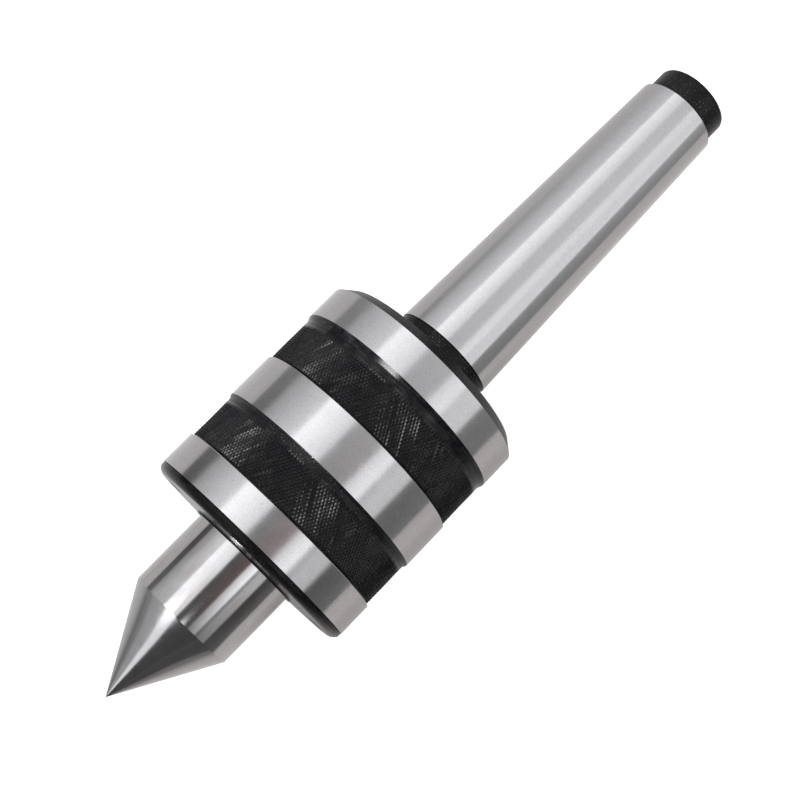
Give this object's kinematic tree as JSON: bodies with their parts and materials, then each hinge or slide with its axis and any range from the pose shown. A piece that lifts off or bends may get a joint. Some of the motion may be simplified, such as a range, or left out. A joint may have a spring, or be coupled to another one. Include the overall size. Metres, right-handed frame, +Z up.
{
  "type": "live center",
  "caption": "Revolving lathe centre: Morse taper 4 shank, knurled body with ground rings, screwed front cap, and a 60 degree point turning on ball and thrust bearings.",
  "frame": {"origin": "on the axis of rotation, at the gauge plane of the Morse taper shank, which is the large end of the ground taper", "axes": "+X along the axis of rotation towards the point; +Z up; +Y completes a right-handed set, and the two spanner holes lie at +Y and -Y"},
  "size_m": [0.2428, 0.0684, 0.0684],
  "materials": {
    "housing_steel": "ground rings and taper, black-oxided knurled bands, faces and stub",
    "black_oxide": "satin black oxide on turned steel",
    "point_steel": "finely ground hardened tool steel",
    "bearing_steel": "ground bearing steel",
    "ball_steel": "lapped",
    "pressed_steel": "plain pressed steel, lightly oiled",
    "zinc_plate": "thin plated sheet",
    "spring_steel": "tempered, slightly blued",
    "cage_brass": "machined",
    "seal_rubber": "matt nitrile rubber"
  },
  "bodies": {
    "housing": {"housing": "housing_steel", "front_cap": "black_oxide", "cap_o_ring": "seal_rubber", "seal_case": "zinc_plate", "seal_lip": "seal_rubber", "seal_spring": "spring_steel", "front_bearing_outer_ring": "bearing_steel", "front_bearing_shields": "zinc_plate", "thrust_housing_washer": "bearing_steel", "rear_bearing_outer_ring": "bearing_steel", "rear_bearing_shields": "zinc_plate", "preload_spring": "spring_steel"},
    "spindle": {"spindle": "point_steel", "front_bearing_inner_ring": "bearing_steel", "bearing_spacer": "pressed_steel", "thrust_shaft_washer": "bearing_steel", "rear_bearing_inner_ring": "bearing_steel", "rear_circlip": "black_oxide", "rear_shim": "pressed_steel"},
    "front_ball_set": {"front_bearing_balls": "ball_steel", "front_bearing_cage": "pressed_steel"},
    "thrust_ball_set": {"thrust_balls": "ball_steel", "thrust_cage": "cage_brass"},
    "rear_ball_set": {"rear_bearing_balls": "ball_steel", "rear_bearing_cage": "pressed_steel"}
  },
  "joints": [
    {"name": "spindle_spin", "type": "hinge", "parent": "housing", "child": "spindle", "pos_m": [0, 0, 0], "axis": [1, 0, 0], "continuous": true},
    {"name": "front_balls_orbit", "type": "hinge", "parent": "housing", "child": "front_ball_set", "pos_m": [0, 0, 0], "axis": [1, 0, 0], "continuous": true},
    {"name": "thrust_balls_orbit", "type": "hinge", "parent": "housing", "child": "thrust_ball_set", "pos_m": [0, 0, 0], "axis": [1, 0, 0], "continuous": true},
    {"name": "rear_balls_orbit", "type": "hinge", "parent": "housing", "child": "rear_ball_set", "pos_m": [0, 0, 0], "axis": [1, 0, 0], "continuous": true}
  ],
  "couplings": [
    {"joint": "front_balls_orbit", "follows": "spindle_spin", "ratio": 0.41595},
    {"joint": "thrust_balls_orbit", "follows": "spindle_spin", "ratio": 0.5},
    {"joint": "rear_balls_orbit", "follows": "spindle_spin", "ratio": 0.39758}
  ]
}
